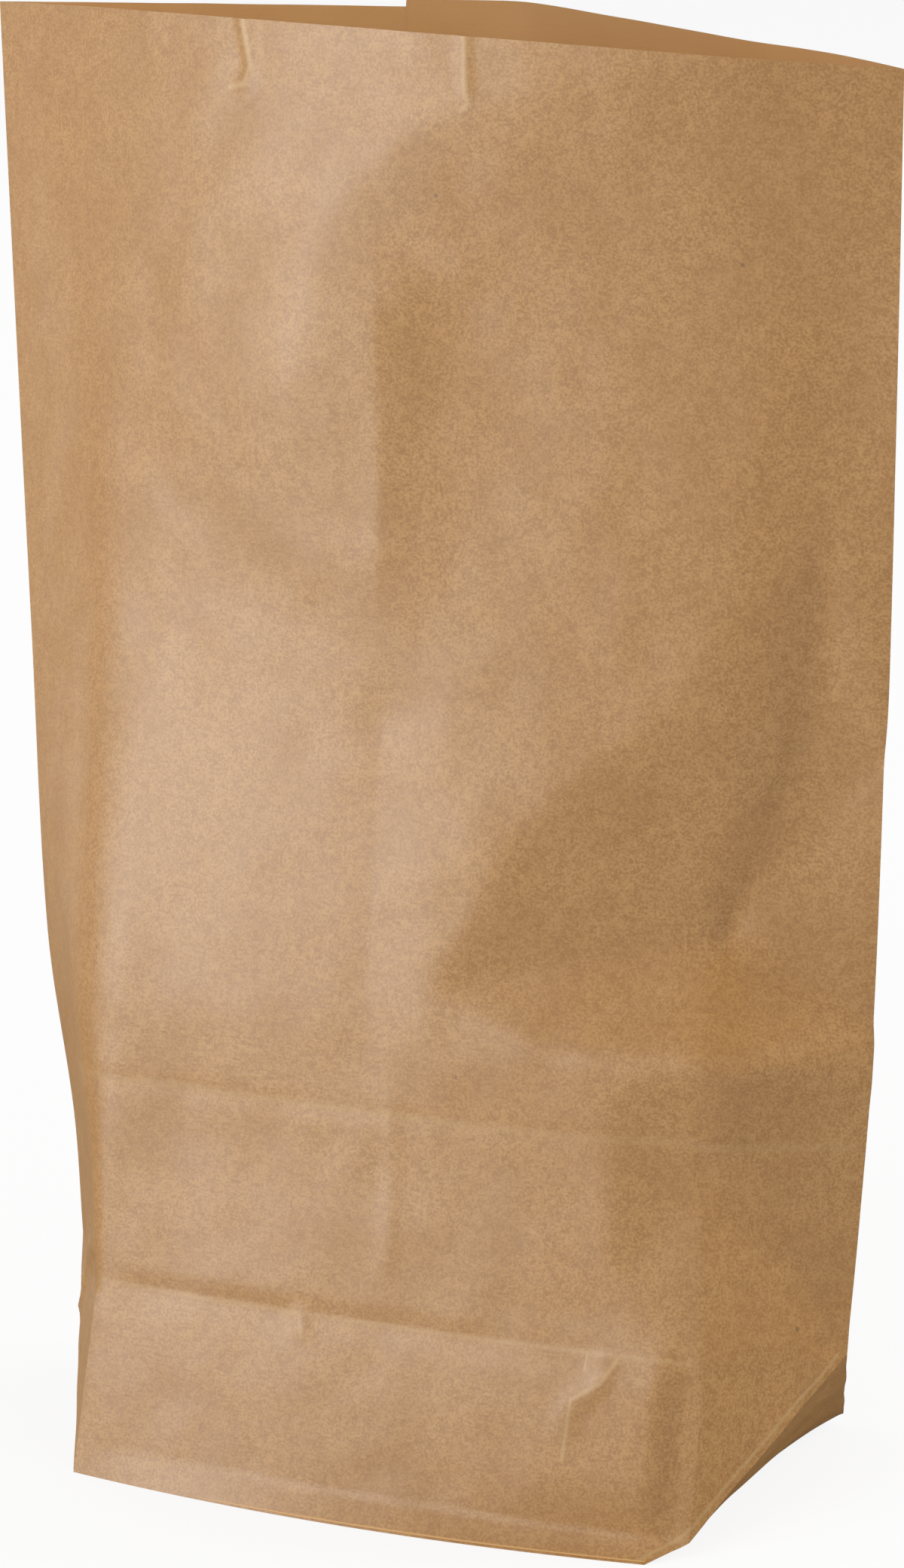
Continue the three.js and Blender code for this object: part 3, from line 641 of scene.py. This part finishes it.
def buildBag():
    ply, lap = bag["ply"], bag["flapLap"]
    flatS, flatV = np.meshgrid(around, upwards)
    height = reliefHeight(flatS, flatV)
    height[0] = 0
    seam = seamAt(around)
    skins = {}
    for side in ("outer", "inner"):
        line = skinPoints(side + "Rise")
        pressed = offsetSkin(line, height)
        skins[side] = offsetSkin(pressed, -np.broadcast_to(seam[side + "In"], height.shape))
        foot = skins[side][0]
        if side == "outer":
            foot[:] = line[0]
            foot[:, 2] = baseLevels(around)
        else:
            inward = foot - line[0]
            inward[:, 2] = 0
            inward /= np.maximum(np.linalg.norm(inward, axis=1), tiny)[:, None]
            foot[:] = line[0] + inward * seam["innerIn"][:, None]
            foot[:, 2] = 3 * ply
    mesh = SheetMesh()
    wrapS = np.concatenate([around, [around[0] + girth]])
    flat = np.stack(np.meshgrid(wrapS, upwards), 2)
    outer = mesh.add(skins["outer"]).reshape(height.shape)
    inner = mesh.add(skins["inner"]).reshape(height.shape)
    mesh.inside = inner.ravel()
    mesh.skin(outer, flat, True)
    mesh.skin(inner, flat, False)
    mesh.strip(closed(outer[-1]), closed(inner[-1]), flat[-1], flat[-1] + [0, ply])

    def flatUnder(faces):     # the base takes its paper place from its place on the floor
        points = np.concatenate(mesh.points)[faces][..., :2]
        return points + [halfWidth, -halfDepth]

    def ring(ids, low, high):
        return ids[(around > low - same) & (around < high + same)]

    def point(x, y, z):
        return mesh.add([[x, y, z]])[0]

    foot = outer[0]
    meet, edge = halfBase - halfDepth, halfBase - halfDepth - lap / 2
    meets = {side: [point(side * meet, 0, k * ply) for k in range(3)] for side in (-1, 1)}
    laps = {side: [point(side * edge, lap / 2, k * ply) for k in range(2)] for side in (-1, 1)}
    frontRing = ring(foot, halfDepth, bag["tubeWidth"] - halfDepth)
    rightRing = ring(foot, bag["tubeWidth"] - halfDepth, bag["tubeWidth"] + halfDepth)
    backRing = ring(foot, bag["tubeWidth"] + halfDepth, girth - halfDepth)
    leftRing = np.concatenate([ring(foot, girth - halfDepth, girth), ring(foot, 0, halfDepth)])
    frontOutline = [*frontRing, meets[1][0], laps[1][0], laps[-1][0], meets[-1][0], frontRing[0]]
    backOutline = [*backRing, meets[-1][1], laps[-1][1], laps[1][1], meets[1][1], backRing[0]]
    mesh.fan(point(0, -halfDepth / 2, 0), np.array(frontOutline[::-1]), flatUnder)
    mesh.fan(point(0, (lap / 2 + halfDepth) / 2, ply), np.array(backOutline[::-1]), flatUnder)
    mesh.fan(meets[1][2], rightRing[::-1], flatUnder)
    mesh.fan(meets[-1][2], leftRing[::-1], flatUnder)
    steps = [
        (frontRing[-1], meets[1][0], meets[1][1]), (frontRing[-1], meets[1][1], meets[1][2]),
        (frontRing[0], meets[-1][1], meets[-1][0]), (frontRing[0], meets[-1][2], meets[-1][1]),
        (backRing[0], meets[1][2], meets[1][1]), (backRing[-1], meets[-1][1], meets[-1][2]),
    ]
    for a, b, c, d in (
        (meets[1][0], laps[1][0], laps[1][1], meets[1][1]),
        (laps[1][0], laps[-1][0], laps[-1][1], laps[1][1]),
        (laps[-1][0], meets[-1][0], meets[-1][1], laps[-1][1]),
    ):
        steps += [(a, b, c), (a, c, d)]
    steps = np.array(steps)
    mesh.triangles(steps, flatUnder(steps))
    mesh.fan(point(0, 0, 3 * ply), closed(inner[0]), flatUnder)
    mesh.points = [liftCorner(np.concatenate(mesh.points))]
    return mesh.object("lunch_bag", 1 / metre)


lunchBag = buildBag()
lunchBag.data.set_sharp_from_angle(angle=math.radians(bag["sharpAngle"]))
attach(lunchBag, "root")
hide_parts("paper_bag")
print("bag folded:", len(lunchBag.data.polygons), "triangles")


# Shader maths: sums and products of sockets add their Math nodes
class Socket:
    def __init__(self, shader, link):
        self.shader, self.link = shader, link

    def __add__(self, other):
        return self.shader.maths("ADD", self, other)

    def __sub__(self, other):
        return self.shader.maths("SUBTRACT", self, other)

    def __rsub__(self, other):
        return self.shader.maths("SUBTRACT", other, self)

    def __mul__(self, other):
        return self.shader.maths("MULTIPLY", self, other)

    __radd__ = __add__
    __rmul__ = __mul__


class Shader:                 # the nodes of a material or of the world
    def __init__(self, owner):
        self.owner = owner
        owner.use_nodes = True
        self.tree = owner.node_tree
        self.tree.nodes.clear()

    def node(self, kind, settings, inputs, output=0):
        made = self.tree.nodes.new(kind)
        for name, value in settings.items():
            setattr(made, name, value)
        for name, value in inputs.items():
            if isinstance(value, Socket):
                self.tree.links.new(value.link, made.inputs[name])
            else:
                made.inputs[name].default_value = value
        return Socket(self, made.outputs[output]) if len(made.outputs) else made

    def maths(self, operation, *values):
        return self.node("ShaderNodeMath", {"operation": operation}, dict(enumerate(values)))

    def vectorMaths(self, operation, *values, output=0):
        settings, inputs = {"operation": operation}, dict(enumerate(values))
        return self.node("ShaderNodeVectorMath", settings, inputs, output)

    def scaled(self, vector, scale):
        settings, inputs = {"operation": "SCALE"}, {0: vector, "Scale": scale}
        return self.node("ShaderNodeVectorMath", settings, inputs)

    def smooth(self, value, low, high):
        settings = {"interpolation_type": "SMOOTHSTEP"}
        inputs = {"Value": value, "From Min": low, "From Max": high}
        return self.node("ShaderNodeMapRange", settings, inputs)

    def noise(self, vector, scale, detail=2.0, roughness=0.5):
        inputs = {"Vector": vector, "Scale": scale, "Detail": detail, "Roughness": roughness}
        return self.node("ShaderNodeTexNoise", {}, inputs)

    def mix(self, share, first, second):
        inputs = {"Factor": share, 6: first, 7: second}
        return self.node("ShaderNodeMix", {"data_type": "RGBA"}, inputs, output=2)


kraft = {
    "paper": (0.405, 0.196, 0.045, 1),
    "warm": (0.332, 0.147, 0.026, 1),
    "pale": (0.470, 0.245, 0.065, 1),
    "worn": (0.50, 0.31, 0.12, 1),
    "speck": (0.16, 0.07, 0.02, 1),
    # the inner skin's colour: partly the paper's own paler inner side, partly painted light
    # standing in for light that shines through the wall
    "inside": (0.70, 0.395, 0.15, 1),
    "insidePaintedLightShare": 0.9,
    "roughness": 0.54,
    "specular": 0.92,
    "ior": 1.7,
    "mottle": 620,            # noise scales in 1/m
    "mottleDetail": 3.0,
    "mottleRough": 0.6,
    "mottleShare": 0.4,
    "grain": 2600,
    "grainDetail": 1.0,
    "grainShare": 0.7,
    "toneSpan": (0.38, 0.72), # noise values at which a colour begins and is full
    "variation": 0.85,
    "clouds": 90,
    "cloudDetail": 3.0,
    "cloudSpan": (0.35, 0.75),
    "cloudShare": 0.35,
    "fibres": 1500,
    "fibreStretch": 0.35,
    "fibreSpan": (0.55, 0.8),
    "fibreShare": 0.3,
    "speckCore": 0.2,
    "speckShare": 0.6,
    "bump": 0.00006,
    "bumpMottle": 0.6,
    "bumpFibres": 0.4,
}


# Where the paper is worn pale along a crease, in mm on the flat paper
wornMarks = [
    {"line": [(33, 32), (133, 32)], "width": 0.7, "pale": 0.3},
    {"line": [(20, 65.4), (160, 65.9)], "width": 1.3, "pale": 0.2},
    {"line": [(56.8, 233), (58.6, 225), (57.4, 222.2), (54.5, 221.5)], "width": 0.8, "pale": 0.7},
    {"line": [(96, 233), (96.4, 224), (96.8, 222), (95.8, 221)], "width": 0.7, "pale": 0.6},
    {"line": [(68.6, 32), (69.4, 28.5)], "width": 0.5, "pale": 0.4},
    {"line": [(117, 32), (117, 29.5)], "width": 0.4, "pale": 0.6},
    {"line": [(122, 31.5), (120, 28), (115.5, 25), (115, 16)], "width": 0.6, "pale": 0.6},
    {"line": [(128, 0), (160, 32)], "width": 0.6, "pale": 0.5},
]
# Dark specks: where on the paper, and how wide
specks = [(138.6, 200.7, 0.5), (139.6, 154.3, 0.4), (32.8, 85.9, 0.4), (152.5, 36.7, 0.6),
          (95.3, 73.1, 0.4), (91.2, 207.7, 0.5)]


def nearLine(shader, flat, a, b):     # distance of a place on the paper from a straight mark
    run = (b[0] - a[0], b[1] - a[1], 0)
    offset = shader.vectorMaths("SUBTRACT", flat, (*a, 0))
    reach = shader.vectorMaths("DOT_PRODUCT", offset, run, output=1)
    settings = {"operation": "DIVIDE", "use_clamp": True}
    share = shader.node("ShaderNodeMath", settings, {0: reach, 1: run[0] ** 2 + run[1] ** 2})
    nearest = shader.scaled(run, share)
    return shader.vectorMaths("LENGTH", shader.vectorMaths("SUBTRACT", offset, nearest), output=1)


def wornShare(shader, flat):
    share = 0.0
    for mark in wornMarks:
        for a, b in zip(mark["line"], mark["line"][1:]):
            away = nearLine(shader, flat, a, b)
            worn = (1 - shader.smooth(away, 0.0, mark["width"])) * mark["pale"]
            share = shader.maths("MAXIMUM", share, worn)
    return share


def kraftMaterial():
    shader = Shader(bpy.data.materials.new("kraft_paper"))
    place = shader.node("ShaderNodeTexCoord", {}, {}, "Object")
    paperPlace = shader.node("ShaderNodeUVMap", {"uv_map": "flatPaper"}, {})
    flat = shader.scaled(paperPlace, metre)
    clouds = shader.noise(place, kraft["clouds"], kraft["cloudDetail"])
    mottle = shader.noise(place, kraft["mottle"], kraft["mottleDetail"], kraft["mottleRough"])
    grain = shader.noise(place, kraft["grain"], kraft["grainDetail"])
    threads = (kraft["fibres"] * kraft["fibreStretch"], kraft["fibres"], 0)
    fibres = shader.noise(shader.vectorMaths("MULTIPLY", paperPlace, threads), 1.0)
    tone = mottle * kraft["mottleShare"] + grain * kraft["grainShare"]
    colour = shader.mix(shader.smooth(tone, *kraft["toneSpan"]), kraft["warm"], kraft["pale"])
    colour = shader.mix(kraft["variation"], kraft["paper"], colour)
    cloudy = shader.smooth(clouds, *kraft["cloudSpan"]) * kraft["cloudShare"]
    colour = shader.mix(cloudy, colour, kraft["warm"])
    streaks = shader.smooth(fibres, *kraft["fibreSpan"]) * kraft["fibreShare"]
    colour = shader.mix(streaks, colour, kraft["pale"])
    colour = shader.mix(wornShare(shader, flat), colour, kraft["worn"])
    for s, v, size in specks:
        away = shader.vectorMaths("DISTANCE", flat, (s, v, 0), output=1)
        dark = (1 - shader.smooth(away, kraft["speckCore"] * size, size)) * kraft["speckShare"]
        colour = shader.mix(dark, colour, kraft["speck"])
    inside = shader.node("ShaderNodeAttribute", {"attribute_name": "inside"}, {}, "Fac")
    # painted light: the inner skin is mixed toward the much paler inside colour, partly its own
    # paler side and partly light through the wall
    colour = shader.mix(inside * kraft["insidePaintedLightShare"], colour, kraft["inside"])
    height = mottle * kraft["bumpMottle"] + fibres * kraft["bumpFibres"]
    bump = shader.node("ShaderNodeBump", {}, {"Distance": kraft["bump"], "Height": height})
    paper = shader.node("ShaderNodeBsdfPrincipled", {}, {
        "Base Color": colour, "Roughness": kraft["roughness"], "IOR": kraft["ior"],
        "Specular IOR Level": kraft["specular"], "Normal": bump,
    })
    shader.node("ShaderNodeOutputMaterial", {}, {"Surface": paper})
    return shader.owner


lunchBag.data.materials.append(kraftMaterial())
print("paper finished")

# The studio: a pale floor that the camera sees as white, with the bag's soft shadow on it
studio = {
    "floorSize": 6.0,
    "floorAlbedo": (0.88, 0.88, 0.88, 1),
    "floorWhite": 0.86,       # share of plain white that the camera sees
    "white": (1, 1, 1, 1),
    "ambient": 0.45,
    "lampTarget": (0, 0, 0.11),
}

# Power in watts, place as degrees round from the front, degrees up and metres away, and size in
# metres. Only the lamps with sheen show in the paper's gloss.
lamps = [
    {"name": "key", "power": 5.7, "place": (-37, 2, 1.2), "size": 0.2, "sheen": True},
    {"name": "fill", "power": 9, "place": (119, 22, 1.2), "size": 0.8, "sheen": False},
    {"name": "top", "power": 2.8, "place": (60, 31, 1.4), "size": 1.0, "sheen": False},
    {"name": "side", "power": 5.6, "place": (-112, 10, 1.2), "size": 0.8, "sheen": True},
    {"name": "over", "power": 4.9, "place": (-5, 38, 1.2), "size": 1.0, "sheen": False},
]


def placeRound(azimuth, elevation, distance, target):
    a, e = math.radians(azimuth), math.radians(elevation)
    back = Vector((math.sin(a) * math.cos(e), -math.cos(a) * math.cos(e), math.sin(e)))
    return Vector(target) + back * distance


def buildFloor():
    half = studio["floorSize"] / 2
    mesh = bpy.data.meshes.new("floor")
    corners = [(-half, -half, 0), (half, -half, 0), (half, half, 0), (-half, half, 0)]
    mesh.from_pydata(corners, [], [(0, 1, 2, 3)])
    floor = bpy.data.objects.new("floor", mesh)
    bpy.context.scene.collection.objects.link(floor)
    shader = Shader(bpy.data.materials.new("floor_white"))
    seen = shader.node("ShaderNodeLightPath", {}, {}, "Is Camera Ray")
    plain = shader.node("ShaderNodeBsdfDiffuse", {}, {"Color": studio["floorAlbedo"]})
    white = shader.node("ShaderNodeEmission", {}, {"Color": studio["white"], "Strength": 1.0})
    share = seen * studio["floorWhite"]
    mixed = shader.node("ShaderNodeMixShader", {}, {0: share, 1: plain, 2: white})
    shader.node("ShaderNodeOutputMaterial", {}, {"Surface": mixed})
    mesh.materials.append(shader.owner)
    floor.visible_glossy = False        # the paper's sheen is the two lamps' alone


def buildLamp(lamp):
    data = bpy.data.lights.new(lamp["name"], "AREA")
    data.shape = "DISK"
    data.size = lamp["size"]
    data.energy = lamp["power"]
    holder = bpy.data.objects.new(lamp["name"], data)
    holder.visible_glossy = lamp["sheen"]
    target = Vector(studio["lampTarget"])
    holder.location = placeRound(*lamp["place"], target)
    holder.rotation_mode = "QUATERNION"
    holder.rotation_quaternion = (target - holder.location).to_track_quat("-Z", "Y")
    bpy.context.scene.collection.objects.link(holder)


def buildWorld():
    world = bpy.data.worlds.new("studio")
    world.cycles_visibility.glossy = False
    bpy.context.scene.world = world
    shader = Shader(world)
    light, plain = (
        shader.node("ShaderNodeBackground", {}, {"Color": studio["white"], "Strength": strength})
        for strength in (studio["ambient"], 1.0)
    )
    onCamera = shader.node("ShaderNodeLightPath", {}, {}, "Is Camera Ray")
    seen = shader.node("ShaderNodeMixShader", {}, {0: onCamera, 1: light, 2: plain})
    shader.node("ShaderNodeOutputWorld", {}, {"Surface": seen})


camera = {
    "place": (28.37, 16.52, 1.0749),    # as a lamp's place
    "roll": -2.58,
    "target": (0, 0, 0.11),
    "focalPixels": 9227,      # focal length in pixels of the 1200 by 2082 picture
    "centre": (569.0, 1040.4),
    "picture": (1200, 2082),
    "sensor": 36,
    "clip": (0.05, 20),
}


def buildCamera():
    data = bpy.data.cameras.new("camera")
    holder = bpy.data.objects.new("camera", data)
    bpy.context.scene.collection.objects.link(holder)
    width, height = camera["picture"]
    data.sensor_fit = "AUTO"
    data.sensor_width = camera["sensor"]
    data.lens = camera["focalPixels"] / height * data.sensor_width
    data.shift_x = (width / 2 - camera["centre"][0]) / height
    data.shift_y = (camera["centre"][1] - height / 2) / height
    data.clip_start, data.clip_end = camera["clip"]
    target = Vector(camera["target"])
    holder.location = placeRound(*camera["place"], target)
    forward = (target - holder.location).normalized()
    right = forward.cross(Vector((0, 0, 1))).normalized()
    up = right.cross(forward)
    roll = math.radians(camera["roll"])
    across = right * math.cos(roll) + up * math.sin(roll)
    above = -right * math.sin(roll) + up * math.cos(roll)
    turn = Matrix((across, above, -forward)).transposed()
    holder.rotation_mode = "QUATERNION"
    holder.rotation_quaternion = turn.to_quaternion()
    bpy.context.scene.camera = holder


buildFloor()
for lamp in lamps:
    buildLamp(lamp)
buildWorld()
buildCamera()
bpy.context.scene.view_settings.view_transform = "Standard"
print("studio lit")
